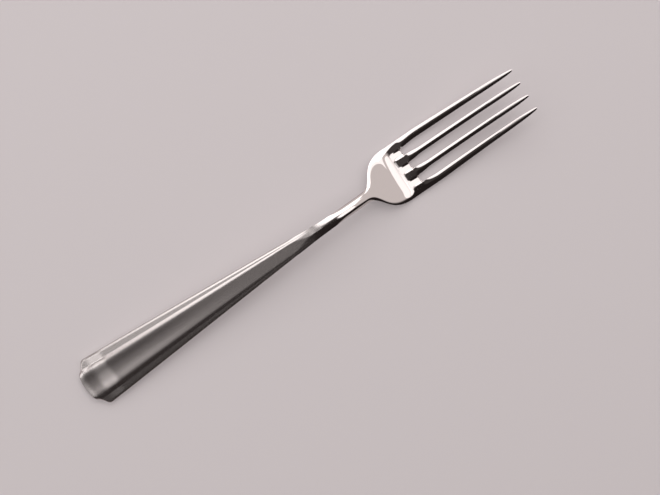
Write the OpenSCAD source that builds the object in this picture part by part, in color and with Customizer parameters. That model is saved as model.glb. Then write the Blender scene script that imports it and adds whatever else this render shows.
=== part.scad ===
// Dessert fork, forged and trimmed from one steel blank.
// The blank is drawn as the regions it is forged into, which meet face to face.
// X runs from the tail of the handle to the tine tips, Y across, and Z up from the table.

/* [Lengths] */
// Length of the handle, from its tail to the start of the neck
handle_len = 92; // [80:1:110]
// Length of the neck
neck_len = 23.6; // [18:0.1:30]
// Length of the head, from the neck to the crotches between the tines
head_len = 19; // [18:0.5:26]
// Length of the tines, from the crotches to the tips
tine_len = 45.4; // [36:0.1:56]

/* [Side profile] */
// Length of the tail that lies flat on the table
rest_len = 3.6; // [3:0.1:6]
// Length over which the tail bends up
bend_len = 4; // [3:0.5:8]
// Length of the steep part behind the tail's bend
kick_len = 3; // [2:0.5:6]
// Length over which the steep part runs into the rising handle
kick_round = 1.2; // [0.8:0.1:4]
// Angle of the steep part, in degrees
kick_angle = 10.8; // [4:0.1:14]
// Straight length of the neck before it starts to bend down
crest_start = 5.1; // [2:0.1:9]
// Length of the bend over the neck, down to the steepest part of the head
crest_len = 24; // [16:0.5:28]
// Length of the hollow of the head, from the steepest part to the belly
hollow_len = 10; // [7:0.5:14]
// Steepest fall of the head below the table's plane, in degrees
fall_angle = 26; // [15:1:34]
// Height of the underside of the tine tips above the table
tip_rise = 9; // [4:0.5:14]

/* [Handle outline] */
// Width of the rounded end of the tail lobe
lobe_w = 10.5; // [8:0.1:11]
// Length of the tail lobe, up to the notches beside it
lobe_len = 2.5; // [2.2:0.1:3]
// Width of the tail lobe at its notches
lobe_root_w = 12.4; // [11.2:0.1:13]
// Bow of the tail end
end_bow = 0.95; // [0.2:0.05:1.2]
// Distance of the ears from the tail end
ear_len = 4.1; // [3.7:0.1:5.5]
// Width over the ears, the widest part of the handle
ear_w = 17.9; // [15:0.1:20]
// Width of the handle where the neck starts
handle_end_w = 5.05; // [4.4:0.05:6]
// Rounding of the lobe's corners
lobe_round = 0.5; // [0.3:0.1:0.9]
// Rounding in the notches
notch_round = 0.8; // [0.4:0.1:1.1]
// Rounding of the ears
ear_round = 1.2; // [0.6:0.1:1.8]

/* [Handle section] */
// Thickness of the handle at its raised panel
handle_t = 2.6; // [2.2:0.1:3.4]
// Height of the raised panel above the side flanges, at the tail
panel_h = 0.42; // [0.2:0.02:0.7]
// Width of the flat of the panel at the tail
panel_w = 6.9; // [6:0.1:8.4]
// Width of the flat of the panel where the neck starts
panel_end_w = 2.6; // [2:0.1:3]
// Width over the feet of the panel's slopes at the tail
foot_w = 11.8; // [9.4:0.1:13]
// Width over the feet of the panel's slopes where the neck starts
foot_end_w = 3.64; // [3.2:0.02:4.2]
// Fall of the flanges towards their edges, in degrees
flange_angle = 6; // [0:0.5:8]
// Depth of the shallow dish in the panel at the tail
dish_d = 0.28; // [0.05:0.01:0.4]
// Length of the dish, which runs out towards the neck
dish_len = 75; // [40:1:85]
// Width of the rounded top edge of the flanges
edge_w = 0.8; // [0.4:0.1:1.2]
// Depth of the rounded top edge of the flanges
edge_d = 0.3; // [0.1:0.05:0.5]
// Length of the rounded top edge of the tail end
end_edge_len = 3; // [1:0.1:3.4]
// Depth of the rounded top edge of the tail end
end_edge_d = 0.45; // [0.2:0.05:0.9]

/* [Neck] */
// Fall of the start of the neck to its sides, in degrees
crest_angle = 8; // [0:0.5:12]
// Width of the neck at its narrowest, where the head starts
neck_w = 4.05; // [3.2:0.05:4.8]
// Thickness of the neck
neck_t = 3.2; // [2.6:0.1:4]
// Depth of the rounding on the top of the neck
neck_round_d = 1.05; // [0.5:0.05:1.3]
// Depth of the rounding on the underside of the neck
neck_under_d = 1; // [0.5:0.05:1.1]
// How far behind the start of the neck the panel has run out
ridge_end = 2; // [0:0.5:4]
// Length over which the panel runs out
ridge_fade_len = 10; // [6:0.5:16]
// How far behind the start of the neck its rounding starts
round_start = 3; // [0:0.5:6]
// Length over which the neck's rounding grows
round_len = 13; // [8:0.5:16]

/* [Head] */
// Width of the head
head_w = 20; // [17:0.05:23]
// Thickness of the palm of the head
palm_t = 2; // [1.7:0.1:2.6]
// Height of the palm's crown over the rims of the head
palm_crown = 0.5; // [0:0.05:0.6]
// Length of the S-shaped shoulders
shoulder_len = 13.5; // [12:0.5:14]
// How far the shoulder holds the neck's direction
shoulder_out = 5; // [3:0.5:6]
// How far the shoulder holds the head's direction
shoulder_in = 9.5; // [7:0.5:10]
// Width of the rolled edge of the head
roll_w = 4.5; // [3:0.1:6]
// Width of the rolled edge where the tines start
roll_end_w = 1; // [0.6:0.1:2]
// Depth of the rolled edge of the head
roll_d = 0.5; // [0.2:0.05:0.6]
// Depth of the rolled edge where the tines start
roll_end_d = 0.2; // [0.1:0.05:0.4]
// Length over which the rolled edge narrows, up to the crotches
roll_fade = 9; // [3:0.5:12]
// Length of the grooves in the palm that run into the crotches
groove_len = 4; // [2.5:0.1:5]
// Width of the flat of a groove
groove_w = 1.8; // [1.2:0.1:2]
// Width of the flanks of a groove
groove_flank = 0.5; // [0.3:0.05:0.6]
// Depth of a groove at its crotch
groove_d = 0.45; // [0.2:0.05:0.7]

/* [Tines] */
// Spacing of the gaps between the tines, at the crotches
pitch = 5.51; // [5:0.01:6]
// Spacing of the gaps at the tips
tip_pitch = 5.1; // [4.8:0.01:5.6]
// Width over the outer tines at the tips
tip_w = 16.9; // [16:0.1:18.5]
// Length of the outer tines that stays parallel before they draw in
parallel_len = 8; // [4:0.5:14]
// Radius of the crotches
crotch_r = 1.35; // [0.9:0.05:1.4]
// Width of the gaps between the tines
gap_w = 3.4; // [3:0.05:3.7]
// Length over which the gaps widen from the crotches
flare_len = 5; // [3:0.5:14]
// Thickness of the tines where their points start
tine_end_t = 1.1; // [0.9:0.05:1.6]
// Height of the crown on the top of the tines
crown_h = 0.28; // [0.1:0.02:0.5]
// Length over which the crown grows from the crotches
crown_len = 2.3; // [2:0.1:8]
// Length over which the outer tines lose the palm's tilt
level_len = 6; // [2:0.5:14]
// Depth of the rounding on the underside of the tines
under_d = 0.3; // [0.1:0.05:0.4]
// Length of the points of the tines
point_len = 10; // [6:0.5:14]
// Width of the blunt end of a point
point_w = 0.4; // [0.3:0.05:0.7]
// Thickness of the blunt end of a point
point_t = 0.6; // [0.4:0.05:0.9]

/* [Hidden] */

satin_steel = "#b8b6b4";
polished_steel = "#d4d3d2";

// Distances from the tail end to the bounds of the regions
x_neck = handle_len;
x_head = x_neck + neck_len;
x_crotch = x_head + head_len;
overall_len = x_crotch + tine_len;

// Distances from the tail end to the bends of the side profile
x_kick = rest_len + bend_len;
x_kicked = x_kick + kick_len;
x_rise = x_kicked + kick_round;
x_crest = x_neck + crest_start;
x_fall = x_crest + crest_len;
x_belly = x_fall + hollow_len;

// Slopes of the side profile: the handle climbs just enough to bring the belly back to the table
fall_slope = tan(fall_angle);
kick_slope = tan(kick_angle);
flange_slope = tan(flange_angle);
crest_slope = tan(crest_angle);
kick_z = kick_slope * (bend_len / 2 + kick_len);
handle_slope = (fall_slope * (crest_len + hollow_len) - 2 * kick_z - kick_slope * kick_round)
    / (kick_round + 2 * (x_crest - x_rise) + crest_len);
rise_z = kick_z + (kick_slope + handle_slope) * kick_round / 2;
crest_z = rise_z + handle_slope * (x_crest - x_rise);

// Exponents of the rounded edges, the rolled edge, the panel's slopes, the tines' crowns and the dish
round_power = 2.4;
roll_power = 3.2;
panel_power = 2.2;
crown_power = 1.5;
dish_power = 2;
// Exponent that crowds the handle's stations towards the tail
crowd_power = 1.3;
// Share of a point's thinning that is taken off its underside
point_lift = 0.25;
// Least width kept between the foot of the panel's slope and the edge of the handle
flange_min = 0.2;
// Number of tines
tines = 4;

// Points of a half section, as shares of the strip that they cross
panel_cuts = [0, 0.4, 0.8, 1];
slope_cuts = [0.2, 0.4, 0.6, 0.8, 1];
flange_cuts = [0.4, 0.74, 0.88, 1];
tine_cuts = [-1, -0.84, -0.66, -0.5, -0.25, 0, 0.25, 0.5, 0.66, 0.84, 1];

// Numbers of steps along the curves
corner_steps = 4;
kick_steps = 5;
taper_steps = 16;
neck_steps = 15;
shoulder_steps = 14;
groove_steps = 7;
crotch_steps = 6;
tine_steps = 9;
point_steps = 7;

// Plain helpers
function lerp(a, b, t) = a + (b - a) * t;
function share(a, b, x) = min(1, max(0, (x - a) / (b - a)));
function ease(t) = t * t * (3 - 2 * t);
function toward(a, b, d) = a + (b - a) * d / norm(b - a);
function bez2(a, b, c, t) = lerp(lerp(a, b, t), lerp(b, c, t), t);
function bez3(a, b, c, d, t) = lerp(bez2(a, b, c, t), bez2(b, c, d, t), t);
function round_corner(a, corner, b, r) =
    [for (k = [0:corner_steps])
        bez2(toward(corner, a, r), corner, toward(corner, b, r), k / corner_steps)];

// Drop of a rounded edge, d inside the edge, on a rounding w wide and h deep
function edge_drop(d, w, h, power = round_power) = d < w ? h * pow(1 - max(0, d) / w, power) : 0;

// Height of the underside at its middle, along the fork
function under_z(x) =
    x < rest_len ? 0
    : x < x_kick ? kick_slope * pow(x - rest_len, 2) / (2 * bend_len)
    : x < x_kicked ? kick_slope * (x - rest_len - bend_len / 2)
    : x < x_rise ? kick_z + kick_slope * (x - x_kicked)
        - (kick_slope - handle_slope) * pow(x - x_kicked, 2) / (2 * kick_round)
    : x < x_crest ? rise_z + handle_slope * (x - x_rise)
    : x < x_fall ? crest_z + handle_slope * (x - x_crest)
        - (handle_slope + fall_slope) * pow(x - x_crest, 2) / (2 * crest_len)
    : x < x_belly ? fall_slope * pow(x_belly - x, 2) / (2 * hollow_len)
    : tip_rise * pow((x - x_belly) / (overall_len - x_belly), 2);

// Corners of one side of the handle's outline, as distance from the tail and from the middle
tail_mid = [0, 0];
lobe_corner = [end_bow, lobe_w / 2];
notch_corner = [lobe_len, lobe_root_w / 2];
ear_corner = [ear_len, ear_w / 2];
neck_corner = [x_neck, handle_end_w / 2];
tail_edge = concat(
    round_corner(tail_mid, lobe_corner, notch_corner, lobe_round),
    round_corner(lobe_corner, notch_corner, ear_corner, notch_round),
    round_corner(notch_corner, ear_corner, neck_corner, ear_round));
x_end = tail_edge[0][0];
ear_end = tail_edge[len(tail_edge) - 1];
taper = (neck_corner[1] - ear_end[1]) / (neck_corner[0] - ear_end[0]);

// Half width of the neck: it leaves the handle's taper and ends parallel
function neck_half(x) =
    let (t = share(x_neck, x_head, x))
    lerp(handle_end_w, neck_w, ease(t)) / 2 + taper * neck_len * t * pow(1 - t, 2);

// Stations along the fork, each with its distance from the tail and its half width
rise_edge = [x_rise, ear_end[1] + taper * (x_rise - ear_end[0])];
handle_stations = concat(tail_edge,
    [for (k = [1:kick_steps]) lerp(ear_end, rise_edge, k / kick_steps)],
    [for (k = [1:taper_steps]) lerp(rise_edge, neck_corner, pow(k / taper_steps, crowd_power))]);
neck_stations =
    [for (k = [0:neck_steps])
        let (x = lerp(x_neck, x_head, k / neck_steps))
        [x, neck_half(x)]];
x_shoulder = x_head + shoulder_len;
x_groove = x_crotch - groove_len;
shoulder_stations =
    [for (k = [0:shoulder_steps])
        bez3([x_head, neck_w / 2], [x_head + shoulder_out, neck_w / 2],
            [x_shoulder - shoulder_in, head_w / 2], [x_shoulder, head_w / 2], k / shoulder_steps)];
groove_stations =
    [for (k = [1:groove_steps]) [lerp(x_shoulder, x_crotch, k / groove_steps), head_w / 2]];
head_stations = concat(shoulder_stations, groove_stations);

// How far the panel still stands, and how far the section has changed to neck and to head
x_faded = x_neck + ridge_end;
x_fade = x_faded - ridge_fade_len;
x_round = x_neck + round_start;
function ridge(x) = 1 - ease(share(x_fade, x_faded, x));
function neck_mix(x) = ease(share(x_round, x_round + round_len, x));
function head_mix(x) = ease(share(x_head - shoulder_out, x_shoulder, x));

// Half widths of the panel's flat and of its feet, at a station
function half_width(x, w, tail_w, neck_end_w, margin) =
    x > x_neck ? neck_end_w * w / handle_end_w
    : min(w - margin, lerp(tail_w, neck_end_w, share(ear_len, x_neck, x)) / 2);
function panel_half(x, w) = half_width(x, w, panel_w, panel_end_w, 2 * flange_min);
function foot_half(x, w) = half_width(x, w, foot_w, foot_end_w, flange_min);

// Bounds of the tines across the head, as lines from the crotches to the tips
function bound_half(x) = lerp(head_w, tip_w, share(x_crotch + parallel_len, overall_len, x)) / 2;
function gap_line(x) = lerp(pitch, tip_pitch, share(x_crotch, overall_len, x));
function bounds(x) =
    [for (i = [0:tines])
        i == 0 ? -bound_half(x) : i == tines ? bound_half(x) : (i - tines / 2) * gap_line(x)];

// Drop of the head's rolled edge, which narrows towards the crotches
function roll_drop(x, d, w, h, end_h) =
    let (t = ease(share(x_crotch - roll_fade, x_crotch, x)))
    edge_drop(d, min(w, lerp(roll_w, roll_end_w, t)), lerp(h, end_h, t), roll_power);

// Drop of the crowned palm towards the rims of the head, which runs out along the tines
function rim_drop(x, y) =
    palm_crown * ease(share(x_head, x_belly, x)) * (1 - share(x_crotch, overall_len - point_len, x))
        * pow(2 * y / head_w, 2);

// Drop of the grooves that run into the crotches: flat ramps with steep flanks
function groove_drop(x, y) =
    let (off = min([for (i = [1:tines - 1]) abs(y - (i - tines / 2) * gap_line(x))]))
    groove_d * share(x_groove, x_crotch, x)
        * (1 - ease(share(groove_w / 2, groove_w / 2 + groove_flank, off)));

// Upper and lower surface of handle, neck and head, above the underside's middle
function top_rise(x, y, w) =
    let (p = panel_half(x, w), f = foot_half(x, w), d = w - abs(y),
        thick = lerp(lerp(handle_t, neck_t, ease(share(x_fade, x_head, x))), palm_t, head_mix(x)),
        slope_h = panel_h * 2 * (f - p) / (foot_w - panel_w),
        rib = ridge(x) * slope_h * pow(share(p, f, abs(y)), panel_power),
        roof = (1 - neck_mix(x)) * lerp(crest_slope, flange_slope, ridge(x))
            * max(0, abs(y) - f * ridge(x)),
        dish = dish_d * (1 - ease(share(ear_len, dish_len, x)))
            * pow(max(0, 1 - pow(2 * y / (p + f), 2)), dish_power),
        edge = edge_drop(d, edge_w, edge_d * ridge(x)) + edge_drop(d, w, neck_round_d * neck_mix(x)))
    thick - rib - roof - dish - lerp(edge, roll_drop(x, d, w, roll_d, roll_end_d), head_mix(x))
        - rim_drop(x, y) - groove_drop(x, y) - edge_drop(x - x_end, end_edge_len, end_edge_d);
function under_rise(x, y, w) =
    let (d = w - abs(y),
        edge = edge_drop(d, edge_w, under_d * (1 - neck_mix(x)))
            + edge_drop(d, w, neck_under_d * neck_mix(x)))
    lerp(edge, roll_drop(x, d, w, under_d, under_d), head_mix(x));

// Points across a station of the handle or neck, and across one of the head
function mirrored(half) = concat([for (k = [len(half) - 1:-1:1]) -half[k]], half);
function handle_cuts(x, w) =
    let (p = panel_half(x, w), f = foot_half(x, w))
    mirrored(concat([for (t = panel_cuts) p * t],
        [for (t = slope_cuts) lerp(p, f, t)],
        [for (t = flange_cuts) lerp(f, w, t)]));
function head_cuts(w) =
    let (line = bounds(x_crotch))
    concat([for (i = [0:tines - 1]) for (k = [0:len(tine_cuts) - 2])
        lerp(line[i], line[i + 1], (tine_cuts[k] + 1) / 2) * w / line[tines]], [w]);

// One station's upper and lower points: the tail's stations are bowed like its end
function station_points(station, cuts) =
    let (w = station[1], bow = x_end * (1 - ease(share(x_end, ear_len, station[0]))))
    [for (rise = [true, false])
        [for (y = cuts)
            let (x = station[0] - bow * (1 - pow(y / w, 2)))
            [x, y, under_z(x) + (rise ? top_rise(station[0], y, w) : under_rise(station[0], y, w))]]];

// How far a tine has grown from its blunt end to its full section: a round nose, then no slope
function point_growth(x) =
    let (t = share(overall_len, overall_len - point_len, x))
    sqrt(t) * (3 - t) / 2;

// Half width of the gaps: a round crotch that widens into straight gaps
function gap_half(x) =
    let (d = x - x_crotch)
    d < crotch_r ? sqrt(max(0, pow(crotch_r, 2) - pow(crotch_r - d, 2)))
    : lerp(crotch_r, gap_w / 2, ease(share(crotch_r, crotch_r + flare_len, d)));

// Distances of the tine's stations: round the crotch, along the shank and over the point
tine_stations = concat(
    [for (k = [0:crotch_steps]) x_crotch + crotch_r * (1 - cos(90 * k / crotch_steps))],
    [for (k = [1:tine_steps]) lerp(x_crotch + crotch_r, overall_len - point_len, k / tine_steps)],
    [for (k = [1:point_steps]) overall_len - point_len * pow(1 - k / point_steps, 2)]);

// One station of a tine: the head's section at its crotch grows into a crown over a flatter underside
function tine_points(i, x) =
    let (grown = point_growth(x), line = bounds(x), gap = gap_half(x),
        low = line[i] + (i > 0 ? gap : 0), high = line[i + 1] - (i < tines - 1 ? gap : 0),
        half = lerp(point_w, high - low, grown) / 2,
        full_t = lerp(palm_t, tine_end_t, share(x_crotch, overall_len - point_len, x)),
        t = lerp(point_t, full_t, grown), base = under_z(x) + (full_t - t) * point_lift,
        mix = share(x_crotch, x_crotch + crown_len, x), level = share(x_crotch, x_crotch + level_len, x),
        slim = t / palm_t, mid = (low + high) / 2)
    [for (rise = [true, false])
        [for (c = tine_cuts)
            let (y = mid + half * c, d = line[tines] - abs(y),
                crown = crown_h * slim * (1 - pow(abs(c), crown_power)),
                under = under_d * slim * pow(abs(c), round_power),
                roll = roll_drop(x, d, line[tines], rise ? roll_d : under_d, rise ? roll_end_d : under_d),
                rim = lerp(rim_drop(x, y), rim_drop(x, mid), level))
            [x, y, base + (rise ? t + lerp(-roll, crown, mix) - rim - groove_drop(x, y)
                : lerp(roll, under, mix))]]];

// Closed solid through a row of stations, each a list of upper and a list of lower points
module loft(rows) {
    n = len(rows[0][0]);
    last = len(rows) - 1;
    function top(i, k) = i * 2 * n + k;
    function low(i, k) = top(i, k) + n;
    function quad(a, b, c, d) = [[a, b, c], [a, c, d]];
    skins = [for (i = [0:last - 1]) for (k = [0:n - 2]) each concat(
        quad(top(i, k), top(i, k + 1), top(i + 1, k + 1), top(i + 1, k)),
        quad(low(i, k), low(i + 1, k), low(i + 1, k + 1), low(i, k + 1)))];
    sides = [for (i = [0:last - 1]) each concat(
        quad(low(i, 0), top(i, 0), top(i + 1, 0), low(i + 1, 0)),
        quad(low(i, n - 1), low(i + 1, n - 1), top(i + 1, n - 1), top(i, n - 1)))];
    ends = [for (k = [0:n - 2]) each concat(
        quad(low(0, k + 1), top(0, k + 1), top(0, k), low(0, k)),
        quad(low(last, k), top(last, k), top(last, k + 1), low(last, k + 1)))];
    translate([-overall_len / 2, 0, 0])
        polyhedron([for (row = rows) each concat(row[0], row[1])], concat(skins, sides, ends));
}

module handle() {
    color(satin_steel)
        loft([for (s = handle_stations) station_points(s, handle_cuts(s[0], s[1]))]);
}

module neck() {
    color(polished_steel)
        loft([for (s = neck_stations) station_points(s, handle_cuts(s[0], s[1]))]);
}

module head() {
    color(polished_steel)
        loft([for (s = head_stations) station_points(s, head_cuts(s[1]))]);
}

// Tines are counted from the -Y side
module tine(i) {
    color(polished_steel)
        loft([for (x = tine_stations) tine_points(i, x)]);
}

handle();
neck();
head();
tine(0);  // tine_1
tine(1);  // tine_2
tine(2);  // tine_3
tine(3);  // tine_4
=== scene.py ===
"""Dessert fork of stainless steel: a satin handle, and a neck, head and tines polished to a mirror."""

import math
from types import SimpleNamespace
from typing import NamedTuple

import bmesh
import bpy
from mathutils import Matrix, Quaternion, Vector


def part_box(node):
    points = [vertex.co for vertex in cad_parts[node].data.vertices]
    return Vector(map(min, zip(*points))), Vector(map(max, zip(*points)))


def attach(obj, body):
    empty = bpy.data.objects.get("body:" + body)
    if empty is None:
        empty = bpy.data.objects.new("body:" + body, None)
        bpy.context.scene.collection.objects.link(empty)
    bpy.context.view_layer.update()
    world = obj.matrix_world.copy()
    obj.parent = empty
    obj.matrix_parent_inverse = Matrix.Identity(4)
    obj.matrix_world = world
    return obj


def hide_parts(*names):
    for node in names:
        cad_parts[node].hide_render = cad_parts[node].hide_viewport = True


bl_info = {
    "name": "Dessert Fork",
    "version": (1, 0, 0),
    "blender": (4, 5, 0),
    "location": "View3D > Sidebar > Fork",
    "description": "Forges a dessert fork from one steel blank and sets it on a pale table",
    "category": "Object",
}

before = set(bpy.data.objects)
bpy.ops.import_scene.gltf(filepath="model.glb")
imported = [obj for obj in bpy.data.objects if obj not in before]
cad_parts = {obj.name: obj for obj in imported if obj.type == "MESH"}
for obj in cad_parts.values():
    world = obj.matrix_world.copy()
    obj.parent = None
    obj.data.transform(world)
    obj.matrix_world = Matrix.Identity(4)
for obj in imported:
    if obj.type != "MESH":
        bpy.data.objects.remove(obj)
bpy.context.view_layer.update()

MM = 0.001
BODY = "root"
TINES = 4
TINE_NODES = ["tine_%d" % (i + 1) for i in range(TINES)]
NODES = ["handle", "neck", "head", *TINE_NODES]


def node_length(name):
    """Length of a CAD node along the fork, in metres."""
    low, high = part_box(name)
    return high[0] - low[0]


def node_width(name):
    """Width of a CAD node across the fork, in metres."""
    low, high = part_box(name)
    return high[1] - low[1]


def to_linear(hex_colour):
    """Linear RGB of an sRGB hex colour."""
    parts = [int(hex_colour[i:i + 2], 16) / 255 for i in (1, 3, 5)]
    return [c / 12.92 if c <= 0.04045 else ((c + 0.055) / 1.055) ** 2.4 for c in parts]


def length(label, says, default):
    """A length of the fork, in metres."""
    return bpy.props.FloatProperty(
        name=label, description=says, default=default, min=0, unit="LENGTH", precision=5)


def angle(label, says, degrees):
    """An angle of the fork's side profile or section."""
    return bpy.props.FloatProperty(
        name=label, description=says, default=math.radians(degrees), min=0, subtype="ANGLE")


def colour(label, says, hex_colour):
    """A colour of the fork or its stage."""
    return bpy.props.FloatVectorProperty(
        name=label, description=says, default=to_linear(hex_colour), size=3, min=0, max=1,
        subtype="COLOR")


class ForkSizes(bpy.types.PropertyGroup):
    """Sizes of the forged blank."""

    handle_len: length("Handle", "Tail of the handle to the start of the neck", node_length("handle"))
    neck_len: length("Neck", "Start of the neck to the start of the head", node_length("neck"))
    head_len: length("Head", "Start of the head to the crotches of the tines", node_length("head"))
    tine_len: length("Tines", "Crotches to the tips of the tines", node_length("tine_1"))
    head_w: length("Head width", "Width of the head", node_width("head"))

    rest_len: length("Flat tail", "Length of the tail that lies flat on the table", 3.6 * MM)
    bend_len: length("Tail bend", "Length over which the tail bends up", 4 * MM)
    kick_len: length("Kick", "Length of the steep part behind the tail bend", 3 * MM)
    kick_round: length("Kick rounding", "Length over which the kick runs into the handle", 1.2 * MM)
    kick_angle: angle("Kick angle", "How steeply the tail is turned down", 10.8)
    crest_start: length("Straight neck", "Length of neck before it bends down", 5.1 * MM)
    crest_len: length("Crest", "Length of the bend over the neck", 24 * MM)
    hollow_len: length("Hollow", "Length from the steepest part of the head to the belly", 10 * MM)
    tip_rise: length("Tip height", "Height of the underside of the tips above the table", 9 * MM)
    fall_angle: angle("Fall", "Steepest fall of the head", 26)

    lobe_w: length("Lobe width", "Width of the end of the tail lobe", 10.5 * MM)
    lobe_len: length("Lobe length", "Length of the tail lobe, up to its notches", 2.5 * MM)
    lobe_root_w: length("Lobe root", "Width of the tail lobe at its notches", 12.4 * MM)
    end_bow: length("End bow", "Bow of the tail end", 0.95 * MM)
    ear_len: length("Ears", "Distance of the ears from the tail end", 4.1 * MM)
    ear_w: length("Ear width", "Width over the ears", 17.9 * MM)
    handle_end_w: length("Handle end", "Width of the handle where the neck starts", 5.05 * MM)
    lobe_round: length("Lobe rounding", "Rounding of the lobe's corners", 0.5 * MM)
    notch_round: length("Notch rounding", "Rounding in the notches", 0.8 * MM)
    ear_round: length("Ear rounding", "Rounding of the ears", 1.2 * MM)

    handle_t: length("Handle thickness", "Thickness at the raised panel", 2.6 * MM)
    panel_h: length("Panel height", "Height of the panel above the side flanges", 0.42 * MM)
    panel_w: length("Panel width", "Width of the flat of the panel at the tail", 6.9 * MM)
    panel_end_w: length("Panel end", "Width of the flat where the neck starts", 2.6 * MM)
    foot_w: length("Foot width", "Width over the feet of the panel's slopes at the tail", 11.8 * MM)
    foot_end_w: length("Foot end", "Width over the feet where the neck starts", 3.64 * MM)
    flange_angle: angle("Flange fall", "How steeply the flanges fall to their edges", 6)
    dish_d: length("Dish depth", "Depth of the shallow dish in the panel", 0.28 * MM)
    dish_len: length("Dish length", "Length of the dish in the panel", 75 * MM)
    edge_w: length("Edge width", "Width of the rounded edge of the flanges", 0.8 * MM)
    edge_d: length("Edge depth", "Depth of the rounded edge of the flanges", 0.3 * MM)
    end_edge_len: length("End edge", "Length of the rounded edge of the tail end", 3 * MM)
    end_edge_d: length("End edge depth", "Depth of the rounded edge of the tail end", 0.45 * MM)

    crest_angle: angle("Crest fall", "How steeply the start of the neck falls to its sides", 8)
    neck_w: length("Neck width", "Width of the neck at its narrowest", 4.05 * MM)
    neck_t: length("Neck thickness", "Thickness of the neck", 3.2 * MM)
    neck_round_d: length("Neck rounding", "Depth of the rounding on the neck's top", 1.05 * MM)
    neck_under_d: length("Neck underside", "Depth of the rounding under the neck", 1 * MM)
    ridge_end: length("Ridge end", "Where the panel has run out, from the start of the neck", 2 * MM)
    ridge_fade_len: length("Ridge run-out", "Length over which the panel runs out", 10 * MM)
    round_start: length("Rounding start", "Where the neck's rounding starts", 3 * MM)
    round_len: length("Rounding run-in", "Length over which the neck's rounding grows", 13 * MM)

    palm_t: length("Palm thickness", "Thickness of the palm of the head", 2 * MM)
    palm_crown: length("Palm crown", "Height of the palm's crown over the rims of the head", 0.5 * MM)
    shoulder_len: length("Shoulders", "Length of the S-shaped shoulders", 13.5 * MM)
    shoulder_out: length("Shoulder start", "How far the shoulder holds the neck's direction", 5 * MM)
    shoulder_in: length("Shoulder end", "How far the shoulder holds the head's direction", 9.5 * MM)
    roll_w: length("Roll width", "Width of the rolled edge of the head", 4.5 * MM)
    roll_d: length("Roll depth", "Depth of the rolled edge of the head", 0.5 * MM)
    roll_end_w: length("Roll end", "Width of the rolled edge where the tines start", 1 * MM)
    roll_end_d: length("Roll end depth", "Depth of the rolled edge where the tines start", 0.2 * MM)
    roll_fade: length("Roll run-out", "Length over which the rolled edge narrows", 9 * MM)
    groove_len: length("Grooves", "Length of the grooves that run into the crotches", 4 * MM)
    groove_w: length("Groove width", "Width of the flat of a groove", 1.8 * MM)
    groove_flank: length("Groove flank", "Width of a groove's flanks", 0.5 * MM)
    groove_d: length("Groove depth", "Depth of a groove at the crotch", 0.45 * MM)

    pitch: length("Pitch", "Spacing of the gaps at the crotches", 5.51 * MM)
    tip_pitch: length("Tip pitch", "Spacing of the gaps at the tips", 5.1 * MM)
    tip_w: length("Tip spread", "Width over the outer tines at the tips", 16.9 * MM)
    parallel_len: length("Parallel tines", "Length before the outer tines draw in", 8 * MM)
    crotch_r: length("Crotch radius", "Radius of the crotches", 1.35 * MM)
    gap_w: length("Gap", "Width of the gaps between the tines", 3.4 * MM)
    flare_len: length("Flare", "Length over which the gaps widen", 5 * MM)
    tine_end_t: length("Tine end", "Thickness of the tines where their points start", 1.1 * MM)
    crown_h: length("Tine crown", "Height of the crown on the tines", 0.28 * MM)
    crown_len: length("Crown run-in", "Length over which the crown of the tines grows", 2.3 * MM)
    level_len: length("Levelling", "Length over which the outer tines lose the palm's tilt", 6 * MM)
    under_d: length("Tine underside", "Depth of the rounding under the tines", 0.3 * MM)
    point_len: length("Points", "Length of the points of the tines", 10 * MM)
    point_w: length("Point width", "Width of the blunt end of a point", 0.4 * MM)
    point_t: length("Point thickness", "Thickness of the blunt end of a point", 0.6 * MM)


class ForkColours(bpy.types.PropertyGroup):
    """Colours of the steel and the stage."""

    steel: colour("Steel", "Stainless steel, brushed and polished", "#cdc5c3")
    table: colour("Table", "Pale paper that the fork lies on", "#d0c8c9")
    ceiling: colour("Ceiling", "Dark studio ceiling", "#2a2524")
    wall: colour("Wall", "Pale studio wall", "#f2ecea")


# Plain helpers for the forged shape


def lerp(a, b, t):
    """Value at this share of the way from a to b."""
    return a + (b - a) * t


def share(a, b, x):
    """Share of the way from a to b at which x lies, from 0 to 1."""
    return min(1.0, max(0.0, (x - a) / (b - a)))


def ease(t):
    """Share that starts and ends gently."""
    return t * t * (3 - 2 * t)


def mix_points(a, b, t):
    """Point at this share of the way from a to b."""
    return tuple(lerp(p, q, t) for p, q in zip(a, b))


def toward(a, b, distance):
    """Point at this distance from a on the way to b."""
    return mix_points(a, b, distance / math.dist(a, b))


def curve(points, t):
    """Point on the Bezier curve of these control points."""
    while len(points) > 1:
        points = [mix_points(a, b, t) for a, b in zip(points, points[1:])]
    return points[0]


def steps(count):
    """Shares from 0 to 1, in so many even steps."""
    return [k / count for k in range(count + 1)]


def spread(points, longest):
    """The points of a line, with more between them, so that no step is longer than this."""
    out = [points[0]]
    for a, b in zip(points, points[1:]):
        count = max(1, math.ceil(math.dist(a, b) / longest))
        out += [mix_points(a, b, t) for t in steps(count)[1:]]
    return out


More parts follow.
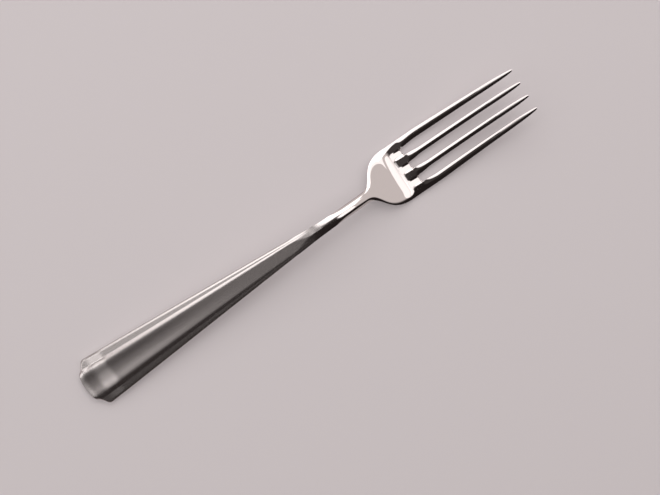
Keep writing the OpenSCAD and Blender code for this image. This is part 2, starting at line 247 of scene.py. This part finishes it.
class Blank:
    """The forged blank in millimetres: x from the tail, y from the middle, z from the table."""

    # Powers of the curves of a section: rounded edges, rolled rim, slopes of the panel, crown of a tine
    ROUND_POWER = 2.4
    ROLL_POWER = 3.2
    PANEL_POWER = 2.2
    CROWN_POWER = 1.5
    # Least width of a flange where the tail is narrow
    FLANGE_MIN = 0.2
    # Share of a point's thinning that lifts its underside
    POINT_LIFT = 0.25
    # Steps across a tine, and across the panel, its slope and the flange, which add up to two tines
    TINE_STEPS = 24
    PANEL_STEPS = 12
    SLOPE_STEPS = 20
    FLANGE_STEPS = 16
    # Steps along a corner of the tail, the neck, the shoulders, a crotch, and a tine's shank and point
    CORNER_STEPS = 8
    NECK_STEPS = 46
    SHOULDER_STEPS = 48
    CROTCH_STEPS = 14
    SHANK_STEPS = 40
    POINT_STEPS = 24
    # Longest step along the fork, and along its fine parts
    STEP = 0.8
    FINE_STEP = 0.3

    def __init__(self, sizes):
        units = {name: 1 if name.endswith("angle") else MM for name in ForkSizes.__annotations__}
        self.s = s = SimpleNamespace(**{name: getattr(sizes, name) / unit for name, unit in units.items()})
        # Places along the fork
        self.x_neck = s.handle_len
        self.x_head = self.x_neck + s.neck_len
        self.x_crotch = self.x_head + s.head_len
        self.overall = self.x_crotch + s.tine_len
        self.x_kick = s.rest_len + s.bend_len
        self.x_kicked = self.x_kick + s.kick_len
        self.x_rise = self.x_kicked + s.kick_round
        self.x_crest = self.x_neck + s.crest_start
        self.x_fall = self.x_crest + s.crest_len
        self.x_belly = self.x_fall + s.hollow_len
        self.x_shoulder = self.x_head + s.shoulder_len
        self.x_groove = self.x_crotch - s.groove_len
        self.x_faded = self.x_neck + s.ridge_end
        self.x_fade = self.x_faded - s.ridge_fade_len
        self.x_round = self.x_neck + s.round_start
        # Slopes, and the heights that they give the underside
        self.fall = math.tan(s.fall_angle)
        self.kick = math.tan(s.kick_angle)
        self.flange = math.tan(s.flange_angle)
        self.crest = math.tan(s.crest_angle)
        self.kick_z = self.kick * (s.bend_len / 2 + s.kick_len)
        rise_z = self.kick_z + self.kick * s.kick_round / 2
        self.climb = (self.fall * (s.crest_len + s.hollow_len) - 2 * rise_z) / (
            s.kick_round + 2 * (self.x_crest - self.x_rise) + s.crest_len)
        self.rise_z = rise_z + self.climb * s.kick_round / 2
        self.crest_z = self.rise_z + self.climb * (self.x_crest - self.x_rise)
        self.tail = self.tail_outline()
        self.x_end = self.tail[0][0]

    def under_z(self, x):
        """Height of the underside at its middle."""
        s = self.s
        if x < s.rest_len:
            return 0.0
        if x < self.x_kick:
            return self.kick * (x - s.rest_len) ** 2 / (2 * s.bend_len)
        if x < self.x_kicked:
            return self.kick * (x - s.rest_len - s.bend_len / 2)
        if x < self.x_rise:
            past = x - self.x_kicked
            return self.kick_z + self.kick * past - (self.kick - self.climb) * past ** 2 / (2 * s.kick_round)
        if x < self.x_crest:
            return self.rise_z + self.climb * (x - self.x_rise)
        if x < self.x_fall:
            past = x - self.x_crest
            return self.crest_z + self.climb * past - (self.climb + self.fall) * past ** 2 / (2 * s.crest_len)
        if x < self.x_belly:
            return self.fall * (self.x_belly - x) ** 2 / (2 * s.hollow_len)
        return s.tip_rise * ((x - self.x_belly) / (self.overall - self.x_belly)) ** 2

    def tail_outline(self):
        """Rounded outline of the lobe, notch and ear on one side."""
        s = self.s
        corners = [(0, 0), (s.end_bow, s.lobe_w / 2), (s.lobe_len, s.lobe_root_w / 2),
                   (s.ear_len, s.ear_w / 2), (self.x_neck, s.handle_end_w / 2)]
        rounds = [s.lobe_round, s.notch_round, s.ear_round]
        out = []
        for before, corner, after, r in zip(corners, corners[1:], corners[2:], rounds):
            bend = [toward(corner, before, r), corner, toward(corner, after, r)]
            out += [curve(bend, t) for t in steps(self.CORNER_STEPS)]
        return out

    def neck_half(self, x):
        """Half width of the neck, which starts with the taper of the handle."""
        s = self.s
        start, end = self.tail[-1], (self.x_neck, s.handle_end_w / 2)
        taper = (end[1] - start[1]) / (end[0] - start[0])
        t = share(self.x_neck, self.x_head, x)
        return lerp(s.handle_end_w, s.neck_w, ease(t)) / 2 + taper * s.neck_len * t * (1 - t) ** 2

    def stations(self):
        """Distance from the tail and half width of each station, from the tail to the crotches."""
        s = self.s
        tail = spread(self.tail, self.FINE_STEP)
        taper = spread([self.tail[-1], (self.x_neck, s.handle_end_w / 2)], self.STEP)
        neck_places = [lerp(self.x_neck, self.x_head, t) for t in steps(self.NECK_STEPS)]
        neck = [(x, self.neck_half(x)) for x in neck_places]
        bend = [(self.x_head, s.neck_w / 2), (self.x_head + s.shoulder_out, s.neck_w / 2),
                (self.x_shoulder - s.shoulder_in, s.head_w / 2), (self.x_shoulder, s.head_w / 2)]
        shoulder = [curve(bend, t) for t in steps(self.SHOULDER_STEPS)]
        palm = spread([(self.x_shoulder, s.head_w / 2), (self.x_crotch, s.head_w / 2)], self.FINE_STEP)
        return tail + taper[1:] + neck[1:] + shoulder[1:] + palm[1:]

    def ridge(self, x):
        """Share of the panel's ridges that is left on the way to the neck."""
        return 1 - ease(share(self.x_fade, self.x_faded, x))

    def roll_drop(self, x, inside, w, depth, end_depth):
        """Drop of the rolled edge of the head, which narrows towards the crotches."""
        s = self.s
        t = ease(share(self.x_crotch - s.roll_fade, self.x_crotch, x))
        width = min(w, lerp(s.roll_w, s.roll_end_w, t))
        return self.edge_drop(inside, width, lerp(depth, end_depth, t), self.ROLL_POWER)

    def neck_mix(self, x):
        """Share of the neck's rounding."""
        return ease(share(self.x_round, self.x_round + self.s.round_len, x))

    def head_mix(self, x):
        """Share of the head's section."""
        return ease(share(self.x_head - self.s.shoulder_out, self.x_shoulder, x))

    def panel_half(self, x, w):
        """Half width of the panel's flat."""
        s = self.s
        if x > self.x_neck:
            return s.panel_end_w * w / s.handle_end_w
        return min(w - 2 * self.FLANGE_MIN,
                   lerp(s.panel_w, s.panel_end_w, share(s.ear_len, self.x_neck, x)) / 2)

    def foot_half(self, x, w):
        """Half width over the feet of the panel's slopes."""
        s = self.s
        if x > self.x_neck:
            return s.foot_end_w * w / s.handle_end_w
        return min(w - self.FLANGE_MIN,
                   lerp(s.foot_w, s.foot_end_w, share(s.ear_len, self.x_neck, x)) / 2)

    def edge_drop(self, inside, width, depth, power=ROUND_POWER):
        """Drop of a rounded edge of this width and depth, so far inside it."""
        if inside >= width:
            return 0.0
        return depth * (1 - max(0.0, inside) / width) ** power

    def rim_drop(self, x, y):
        """Drop of the crowned palm towards the rims of the head, which runs out along the tines."""
        s = self.s
        grown = ease(share(self.x_head, self.x_belly, x))
        left = 1 - share(self.x_crotch, self.overall - s.point_len, x)
        return s.palm_crown * grown * left * (2 * y / s.head_w) ** 2

    def groove_drop(self, x, y):
        """Drop of the grooves that run into the crotches."""
        s = self.s
        t = share(self.x_groove, self.x_crotch, x)
        line = lerp(s.pitch, s.tip_pitch, share(self.x_crotch, self.overall, x))
        off = min(abs(y - gap) for gap in (-line, 0, line))
        return s.groove_d * t * (1 - ease(share(s.groove_w / 2, s.groove_w / 2 + s.groove_flank, off)))

    def top_rise(self, x, y, w):
        """Height of the top above the middle of the underside, where the fork is 2 w wide."""
        s = self.s
        p, f, a = self.panel_half(x, w), self.foot_half(x, w), abs(y)
        panel_h = s.panel_h * (f - p) * 2 / (s.foot_w - s.panel_w)
        rib = self.ridge(x) * panel_h * share(p, f, a) ** self.PANEL_POWER
        slope = lerp(self.crest, self.flange, self.ridge(x))
        roof = (1 - self.neck_mix(x)) * slope * max(0.0, a - f * self.ridge(x))
        dish = (s.dish_d * (1 - ease(share(s.ear_len, s.dish_len, x)))
                * max(0.0, 1 - (2 * y / (p + f)) ** 2) ** 2)
        edge = lerp(self.edge_drop(w - a, s.edge_w, s.edge_d * self.ridge(x))
                    + self.edge_drop(w - a, w, s.neck_round_d * self.neck_mix(x)),
                    self.roll_drop(x, w - a, w, s.roll_d, s.roll_end_d), self.head_mix(x))
        end = self.edge_drop(x - self.x_end, s.end_edge_len, s.end_edge_d)
        thick = lerp(lerp(s.handle_t, s.neck_t, ease(share(self.x_fade, self.x_head, x))),
                     s.palm_t, self.head_mix(x))
        return thick - rib - roof - dish - edge - self.rim_drop(x, y) - self.groove_drop(x, y) - end

    def under_rise(self, x, y, w):
        """Height of the underside above its middle."""
        s = self.s
        off = w - abs(y)
        return lerp(self.edge_drop(off, s.edge_w, s.under_d * (1 - self.neck_mix(x)))
                    + self.edge_drop(off, w, s.neck_under_d * self.neck_mix(x)),
                    self.roll_drop(x, off, w, s.under_d, s.under_d), self.head_mix(x))

    def handle_cuts(self, x, w):
        """Places across half of the handle: panel, slope and flange."""
        p, f = self.panel_half(x, w), self.foot_half(x, w)
        panel = [p * t for t in steps(self.PANEL_STEPS)]
        slope = [lerp(p, f, t) for t in steps(self.SLOPE_STEPS)[1:]]
        flange = [lerp(f, w, math.sin(t * math.pi / 2)) for t in steps(self.FLANGE_STEPS)[1:]]
        return panel + slope + flange

    def tine_cuts(self):
        """Places across a tine from -1 to 1, closer together at its edges."""
        return [math.sin((t - 0.5) * math.pi) for t in steps(self.TINE_STEPS)]

    def head_cuts(self, w):
        """Places across half of the head, in line with those across its two tines."""
        s = self.s
        lines = [0, s.pitch, s.head_w / 2]
        out = [0.0]
        for low, high in zip(lines, lines[1:]):
            out += [lerp(low, high, (c + 1) / 2) * 2 * w / s.head_w for c in self.tine_cuts()[1:]]
        return out

    def section(self, station):
        """Upper and lower points across one station, from -Y to +Y."""
        x, w = station
        mix = self.head_mix(x)
        half = [lerp(a, b, mix) for a, b in zip(self.handle_cuts(x, w), self.head_cuts(w))]
        cuts = [-y for y in half[:0:-1]] + half
        bow = self.x_end * (1 - ease(share(self.x_end, self.s.ear_len, x)))
        upper, lower = [], []
        for y in cuts:
            place = x - bow * (1 - (y / w) ** 2)
            base = self.under_z(place)
            upper.append((place, y, base + self.top_rise(x, y, w)))
            lower.append((place, y, base + self.under_rise(x, y, w)))
        return upper, lower

    def tine_bounds(self, x):
        """Outer edges of the tines and middles of the gaps, from -Y to +Y."""
        s = self.s
        edge = lerp(s.head_w, s.tip_w, share(self.x_crotch + s.parallel_len, self.overall, x)) / 2
        line = lerp(s.pitch, s.tip_pitch, share(self.x_crotch, self.overall, x))
        return [-edge, -line, 0, line, edge]

    def gap_half(self, x):
        """Half width of a gap, round at the crotch and flared beyond it."""
        s = self.s
        past = x - self.x_crotch
        if past < s.crotch_r:
            return math.sqrt(max(0.0, s.crotch_r ** 2 - (s.crotch_r - past) ** 2))
        return lerp(s.crotch_r, s.gap_w / 2, ease(share(s.crotch_r, s.crotch_r + s.flare_len, past)))

    def tine_stations(self):
        """Places along a tine, from the crotch to the tip."""
        s = self.s
        turns = [t * math.pi / 2 for t in steps(self.CROTCH_STEPS)]
        crotch = [self.x_crotch + s.crotch_r * (1 - math.cos(a)) for a in turns]
        shank = [lerp(crotch[-1], self.overall - s.point_len, t) for t in steps(self.SHANK_STEPS)]
        point = [self.overall - s.point_len * (1 - t) ** 2 for t in steps(self.POINT_STEPS)]
        return crotch + shank[1:] + point[1:]

    def tine_section(self, i, x):
        """Upper and lower points across one station of a tine."""
        s = self.s
        t = share(self.overall, self.overall - s.point_len, x)
        grown = math.sqrt(t) * (3 - t) / 2
        lines, gap = self.tine_bounds(x), self.gap_half(x)
        low = lines[i] + (gap if i > 0 else 0)
        high = lines[i + 1] - (gap if i < TINES - 1 else 0)
        half = lerp(s.point_w, high - low, grown) / 2
        full = lerp(s.palm_t, s.tine_end_t, share(self.x_crotch, self.overall - s.point_len, x))
        thick = lerp(s.point_t, full, grown)
        base = self.under_z(x) + (full - thick) * self.POINT_LIFT
        mix = share(self.x_crotch, self.x_crotch + s.crown_len, x)
        level = share(self.x_crotch, self.x_crotch + s.level_len, x)
        upper, lower = [], []
        for c in self.tine_cuts():
            y = (low + high) / 2 + half * c
            off, slim = lines[-1] - abs(y), thick / s.palm_t
            rim = lerp(self.rim_drop(x, y), self.rim_drop(x, (low + high) / 2), level)
            roll = self.roll_drop(x, off, lines[-1], s.roll_d, s.roll_end_d)
            crown = s.crown_h * (1 - abs(c) ** self.CROWN_POWER) * slim
            rise = lerp(-roll, crown, mix) - rim
            hollow = lerp(self.roll_drop(x, off, lines[-1], s.under_d, s.under_d),
                          s.under_d * abs(c) ** self.ROUND_POWER * slim, mix)
            upper.append((x, y, base + thick + rise - self.groove_drop(x, y)))
            lower.append((x, y, base + hollow))
        return upper, lower


# The forged fork, which is cut into its regions
forged = {}


def only(kind, geometry):
    """The parts of one kind among those that an operator made."""
    return [part for part in geometry if isinstance(part, kind)]


def lay_blank(bm, blank):
    """Lays the handle, neck and head as one closed plate, and returns its end faces for each tine."""
    stations = blank.stations()
    columns = TINES * blank.TINE_STEPS
    last = len(stations) - 1
    column = bm.verts.layers.int.new("column")
    under = bm.verts.layers.int.new("under")
    bmesh.ops.create_grid(bm, x_segments=last, y_segments=columns, size=1)
    for v in bm.verts:
        v[column] = round((v.co.y + 1) / 2 * columns)
    made = bmesh.ops.extrude_face_region(bm, geom=bm.faces[:])["geom"]
    for v in only(bmesh.types.BMVert, made):
        v[under] = 1
    roots = [[] for _ in range(TINES)]
    for f in bm.faces:
        if all(v.co.x > 1 - 1 / last for v in f.verts):
            roots[min(v[column] for v in f.verts) // blank.TINE_STEPS].append(f)
    sections = [blank.section(station) for station in stations]
    for v in bm.verts:
        row = round((v.co.x + 1) / 2 * last)
        v.co = sections[row][v[under]][v[column]]
    return roots


def draw_tine(bm, blank, i, faces):
    """Draws a tine out of the end faces of the head, from station to station."""
    column = bm.verts.layers.int["column"]
    under = bm.verts.layers.int["under"]
    first = i * blank.TINE_STEPS
    for x in blank.tine_stations()[1:]:
        section = blank.tine_section(i, x)
        made = bmesh.ops.extrude_face_region(bm, geom=faces)["geom"]
        bmesh.ops.delete(bm, geom=faces, context="FACES")
        faces = only(bmesh.types.BMFace, made)
        for v in only(bmesh.types.BMVert, made):
            v.co = section[v[under]][v[column] - first]


def region_of(face, blank):
    """Number of the node that a face of the forged fork belongs to."""
    middle = face.calc_center_median()
    x = middle.x / MM + blank.overall / 2
    for k, end in enumerate((blank.x_neck, blank.x_head, blank.x_crotch)):
        if x < end:
            return k
    gaps_passed = sum(middle.y / MM > line for line in blank.tine_bounds(x)[1:-1])
    return NODES.index(TINE_NODES[gaps_passed])


def forge():
    """Forges the whole fork as one closed mesh, and keeps it with its smooth normals."""
    blank = Blank(bpy.context.scene.fork_sizes)
    bm = bmesh.new()
    for i, faces in enumerate(lay_blank(bm, blank)):
        draw_tine(bm, blank, i, faces)
    bmesh.ops.recalc_face_normals(bm, faces=bm.faces[:])
    for v in bm.verts:
        v.co = ((v.co.x - blank.overall / 2) * MM, v.co.y * MM, v.co.z * MM)
    bm.normal_update()
    source = bm.verts.layers.int.new("source")
    region = bm.faces.layers.int.new("region")
    for k, v in enumerate(bm.verts):
        v[source] = k
    for f in bm.faces:
        f[region] = region_of(f, blank)
    forged.update(bm=bm, blank=blank, normals=[v.normal.copy() for v in bm.verts])


def cut_region(name):
    """One region of the forged fork as a closed object that keeps the whole fork's smooth normals."""
    bm = forged["bm"].copy()
    source = bm.verts.layers.int.get("source")
    region = bm.faces.layers.int.get("region")
    others = [f for f in bm.faces if f[region] != NODES.index(name)]
    bmesh.ops.delete(bm, geom=others, context="FACES")
    bmesh.ops.holes_fill(bm, edges=[e for e in bm.edges if e.is_boundary], sides=0)
    bmesh.ops.recalc_face_normals(bm, faces=bm.faces[:])
    normals = [forged["normals"][v[source]] for v in bm.verts]
    for f in bm.faces:
        f.smooth = True
    mesh = bpy.data.meshes.new(name)
    bm.to_mesh(mesh)
    bm.free()
    mesh.normals_split_custom_set_from_vertices(normals)
    piece = bpy.data.objects.new("steel_" + name, mesh)
    bpy.context.scene.collection.objects.link(piece)
    return piece


def add_node(tree, kind, settings=None, links=None):
    """A node with its settings, and its inputs set to a value or linked to an output."""
    node = tree.nodes.new(kind)
    for name, value in (settings or {}).items():
        setattr(node, name, value)
    for socket, value in (links or {}).items():
        if isinstance(value, bpy.types.NodeSocket):
            tree.links.new(value, node.inputs[socket])
        else:
            node.inputs[socket].default_value = value
    return node


# Roughness of the brushed satin and of the mirror, and the length over which one runs out into the other
SATIN_ROUGH = 0.26
MIRROR_ROUGH = 0.04
POLISH_LEN = 26 * MM

# Brushed lines: their length and their width both ways, drawn coarser than real ones so that they show
BRUSHED_MARKS = (14 * MM, 0.25 * MM, 0.25 * MM)

# Smudges left by buffing: their size each way
BUFFED_MARKS = (3 * MM, 3 * MM, 3 * MM)

# Share by which the brushed lines and the smudges change the roughness
BRUSHED_STRENGTH = 0.05
BUFFED_STRENGTH = 0.3

# Range that most of a noise stays in, and its number of finer layers
NOISE_RANGE = (0.3, 0.7)
NOISE_DETAIL = 3.0


def steel(name, marks, strength):
    """Stainless steel: a satin that runs out into a mirror along the neck, with fine marks in it."""
    made = bpy.data.materials.get(name)
    if made:
        return made
    material = bpy.data.materials.new(name)
    material.use_nodes = True
    tree = material.node_tree
    shader = tree.nodes["Principled BSDF"]
    blank = forged["blank"]
    start = (blank.x_fade - blank.overall / 2) * MM
    place = add_node(tree, "ShaderNodeTexCoord")
    axes = add_node(tree, "ShaderNodeSeparateXYZ", links={"Vector": place.outputs["Object"]})
    rough = add_node(tree, "ShaderNodeMapRange", {"interpolation_type": "SMOOTHSTEP"},
                     {"Value": axes.outputs["X"], "From Min": start, "From Max": start + POLISH_LEN,
                      "To Min": SATIN_ROUGH, "To Max": MIRROR_ROUGH})
    stretch = add_node(tree, "ShaderNodeMapping",
                       links={"Vector": place.outputs["Object"], "Scale": [1 / size for size in marks]})
    noise = add_node(tree, "ShaderNodeTexNoise", {"noise_dimensions": "3D"},
                     {"Vector": stretch.outputs["Vector"], "Scale": 1.0, "Detail": NOISE_DETAIL})
    vary = add_node(tree, "ShaderNodeMapRange",
                    links={"Value": noise.outputs["Fac"],
                           "From Min": NOISE_RANGE[0], "From Max": NOISE_RANGE[1],
                           "To Min": 1 - strength, "To Max": 1 + strength})
    marked = add_node(tree, "ShaderNodeMath", {"operation": "MULTIPLY"},
                      {0: rough.outputs["Result"], 1: vary.outputs["Result"]})
    tree.links.new(marked.outputs["Value"], shader.inputs["Roughness"])
    shader.inputs["Base Color"].default_value = (*bpy.context.scene.fork_colours.steel, 1)
    shader.inputs["Metallic"].default_value = 1.0
    return material


def satin_steel():
    """Stainless steel brushed along the handle: hair-fine lines blur what it mirrors."""
    return steel("stainless steel, satin brushed", BRUSHED_MARKS, BRUSHED_STRENGTH)


def polished_steel():
    """Stainless steel buffed to a mirror: faint smudges dull it here and there."""
    return steel("stainless steel, mirror polished", BUFFED_MARKS, BUFFED_STRENGTH)


def finish_piece(name, finish):
    """Puts one region on the fork's body, in its finish, in place of its CAD node."""
    if not forged:
        forge()
    piece = cut_region(name)
    piece.data.materials.append(finish())
    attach(piece, BODY)
    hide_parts(name)


class FORK_OT_handle(bpy.types.Operator):
    """Forge the handle: its panel, flanges, lobe and ears"""

    bl_idname = "fork.handle"
    bl_label = "Handle"

    def execute(self, context):
        finish_piece("handle", satin_steel)
        return {"FINISHED"}


class FORK_OT_neck(bpy.types.Operator):
    """Draw the neck out of the handle"""

    bl_idname = "fork.neck"
    bl_label = "Neck"

    def execute(self, context):
        finish_piece("neck", polished_steel)
        return {"FINISHED"}


class FORK_OT_head(bpy.types.Operator):
    """Spread the head, with its shoulders and grooves"""

    bl_idname = "fork.head"
    bl_label = "Head"

    def execute(self, context):
        finish_piece("head", polished_steel)
        return {"FINISHED"}


class FORK_OT_tines(bpy.types.Operator):
    """Draw the tines out of the head"""

    bl_idname = "fork.tines"
    bl_label = "Tines"

    def execute(self, context):
        for name in TINE_NODES:
            finish_piece(name, polished_steel)
        return {"FINISHED"}


# Half the width of the table in metres, and the share of its brightness that a shadow leaves
TABLE_REACH = 10
TABLE_GLOW = 0.3


def add_floor(colours):
    """A table of pale matt paper, which the steel mirrors and which keeps the fork's shadow."""
    bm = bmesh.new()
    bmesh.ops.create_grid(bm, x_segments=1, y_segments=1, size=TABLE_REACH)
    mesh = bpy.data.meshes.new("table")
    bm.to_mesh(mesh)
    bm.free()
    floor = bpy.data.objects.new("table", mesh)
    bpy.context.scene.collection.objects.link(floor)
    material = bpy.data.materials.new("pale paper")
    material.use_nodes = True
    tree = material.node_tree
    shader = tree.nodes["Principled BSDF"]
    rays = add_node(tree, "ShaderNodeLightPath")
    seen = rays.outputs["Is Camera Ray"]
    for kind in ("Is Glossy Ray", "Is Transmission Ray"):
        seen = add_node(tree, "ShaderNodeMath", {"operation": "MAXIMUM"},
                        {0: seen, 1: rays.outputs[kind]}).outputs["Value"]
    tree.links.new(seen, shader.inputs["Emission Strength"])
    shader.inputs["Emission Color"].default_value = (*(c * TABLE_GLOW for c in colours.table), 1)
    shader.inputs["Base Color"].default_value = (*(c * (1 - TABLE_GLOW) for c in colours.table), 1)
    shader.inputs["Roughness"].default_value = 0.9
    shader.inputs["Specular IOR Level"].default_value = 0.1
    mesh.materials.append(material)


class Lamp(NamedTuple):
    """A soft lamp or card, in metres and degrees. Without a target it faces straight down."""

    name: str
    place: tuple
    size: tuple
    radiance: float
    target: tuple = None
    turn: float = 0
    shape: str = "RECTANGLE"


# Point on the handle that the tail cards face
TAIL_POINT = (-0.08, 0, 0)

# What the steel mirrors: softboxes on one side, lamps overhead, and cards towards the tail
LAMPS = (
    Lamp("softbox", (0.18, 0.566, 0.674), (1.04, 0.9), 1.62, target=(0.18, -0.108, 0)),
    Lamp("corner softbox", (0.523, 0.324, 0.75), (0.5, 0.4), 0.85, turn=40),
    Lamp("overhead lamp", (0.285, -0.2, 0.75), (0.33, 0.6), 0.9, turn=10, shape="ELLIPSE"),
    # Hangs just under the overhead lamp, so that the two add up where they overlap
    Lamp("strip lamp", (0.164, -0.2, 0.745), (0.08, 0.5), 0.7, turn=10, shape="ELLIPSE"),
    Lamp("tail card", (-0.6, -0.05, 0.58), (0.24, 0.45), 0.47, target=TAIL_POINT),
    Lamp("bright tail card", (-0.6, 0.27, 0.58), (0.24, 0.56), 1.6, target=TAIL_POINT),
    Lamp("fill card", (-0.25, 0.15, 0.75), (0.16, 0.1), 0.65),
    Lamp("ceiling card", (-0.23, -0.05, 0.75), (0.2, 0.2), 0.11),
)


def add_light(lamp):
    """Hangs one lamp, with the power that its size needs to look as bright as its radiance."""
    data = bpy.data.lights.new(lamp.name, "AREA")
    data.shape = lamp.shape
    data.size, data.size_y = lamp.size
    area = lamp.size[0] * lamp.size[1] * (math.pi / 4 if lamp.shape == "ELLIPSE" else 1)
    data.energy = lamp.radiance * math.pi * area
    light = bpy.data.objects.new(lamp.name, data)
    bpy.context.scene.collection.objects.link(light)
    light.location = lamp.place
    target = lamp.target or (*lamp.place[:2], 0)
    aim = (Vector(lamp.place) - Vector(target)).to_track_quat("Z", "Y")
    light.rotation_euler = (aim @ Quaternion((0, 0, 1), math.radians(lamp.turn))).to_euler()


class Side(NamedTuple):
    """A side of the studio: how it joins the sides before it, the way it lies, how far that way its soft edge
    starts and ends, and its share of the wall's colour before and past that edge."""

    joins: str
    way: tuple
    edge: tuple
    pale: tuple


SIDES = (
    # The pale wall beyond the tines
    Side("MAXIMUM", way=(1, 0.12, 0), edge=(0.1, 0.25), pale=(0, 1)),
    # The wall behind the softbox, and a faint light on the ceiling before it
    Side("MAXIMUM", way=(0, 1, 0), edge=(0.25, 0.4), pale=(0, 0.4)),
    Side("MAXIMUM", way=(0, 1, 0), edge=(-0.25, -0.05), pale=(0, 0.06)),
    # The dark side across from the softbox
    Side("MULTIPLY", way=(0, -1, 0), edge=(0.43, 0.57), pale=(1, 0)),
    # The pale horizon all round
    Side("MAXIMUM", way=(0, 0, -1), edge=(-0.2, -0.12), pale=(0, 0.6)),
)


def add_world(colours):
    """A studio with a dark ceiling and pale sides, for the steel to mirror."""
    world = bpy.data.worlds.new("studio")
    bpy.context.scene.world = world
    world.use_nodes = True
    tree = world.node_tree
    back = tree.nodes["Background"]
    place = add_node(tree, "ShaderNodeTexCoord")
    pale = 0.0
    for side in SIDES:
        facing = add_node(tree, "ShaderNodeVectorMath", {"operation": "DOT_PRODUCT"},
                          {0: place.outputs["Generated"], 1: side.way})
        wall = add_node(tree, "ShaderNodeMapRange", {"interpolation_type": "SMOOTHSTEP"},
                        {"Value": facing.outputs["Value"], "From Min": side.edge[0], "From Max": side.edge[1],
                         "To Min": side.pale[0], "To Max": side.pale[1]})
        pale = add_node(tree, "ShaderNodeMath", {"operation": side.joins},
                        {0: pale, 1: wall.outputs["Result"]}).outputs["Value"]
    mix = add_node(tree, "ShaderNodeMix", {"data_type": "RGBA"},
                   {"Factor": pale, "A": (*colours.ceiling, 1), "B": (*colours.wall, 1)})
    tree.links.new(mix.outputs["Result"], back.inputs["Color"])


# The camera, its aim and its sensor in millimetres, and the way that its top points, clockwise from +Y
CAMERA_PLACE = (5.66, 25.9, 430.0)
CAMERA_AIM = (6.18, -7.26, 5.0)
CAMERA_ROLL = math.radians(34.42)
CAMERA_LENS = 68.49
CAMERA_SENSOR = 36


def add_camera():
    """A camera above the table that frames the fork as in the photograph."""
    data = bpy.data.cameras.new("camera")
    data.sensor_width = CAMERA_SENSOR
    data.lens = CAMERA_LENS
    data.clip_start = 10 * MM
    camera = bpy.data.objects.new("camera", data)
    bpy.context.scene.collection.objects.link(camera)
    place, aim = Vector(CAMERA_PLACE) * MM, Vector(CAMERA_AIM) * MM
    back = (place - aim).normalized()
    top = Vector((math.sin(CAMERA_ROLL), math.cos(CAMERA_ROLL), 0))
    right = top.cross(back).normalized()
    axes = Matrix((right, back.cross(right), back)).transposed()
    camera.matrix_world = Matrix.Translation(place) @ axes.to_4x4()
    bpy.context.scene.camera = camera


class FORK_OT_stage(bpy.types.Operator):
    """Lay the pale table and set the studio light and the camera"""

    bl_idname = "fork.stage"
    bl_label = "Stage"

    def execute(self, context):
        colours = context.scene.fork_colours
        add_floor(colours)
        add_world(colours)
        for lamp in LAMPS:
            add_light(lamp)
        add_camera()
        context.scene.view_settings.view_transform = "Standard"
        return {"FINISHED"}


class FORK_PT_panel(bpy.types.Panel):
    """Sizes and colours of the fork, and the steps that make it"""

    bl_idname = "FORK_PT_panel"
    bl_label = "Dessert Fork"
    bl_space_type = "VIEW_3D"
    bl_region_type = "UI"
    bl_category = "Fork"

    def draw(self, context):
        for step in STEPS:
            self.layout.operator(step.bl_idname)
        for group in (context.scene.fork_sizes, context.scene.fork_colours):
            for name in group.__annotations__:
                self.layout.prop(group, name)


STEPS = (FORK_OT_handle, FORK_OT_neck, FORK_OT_head, FORK_OT_tines, FORK_OT_stage)
CLASSES = (ForkSizes, ForkColours, *STEPS, FORK_PT_panel)


def register():
    for cls in CLASSES:
        bpy.utils.register_class(cls)
    bpy.types.Scene.fork_sizes = bpy.props.PointerProperty(type=ForkSizes)
    bpy.types.Scene.fork_colours = bpy.props.PointerProperty(type=ForkColours)


def unregister():
    del bpy.types.Scene.fork_sizes
    del bpy.types.Scene.fork_colours
    for cls in reversed(CLASSES):
        bpy.utils.unregister_class(cls)


def main():
    register()
    bpy.ops.fork.handle()
    bpy.ops.fork.neck()
    bpy.ops.fork.head()
    bpy.ops.fork.tines()
    bpy.ops.fork.stage()


if __name__ == "__main__":
    main()
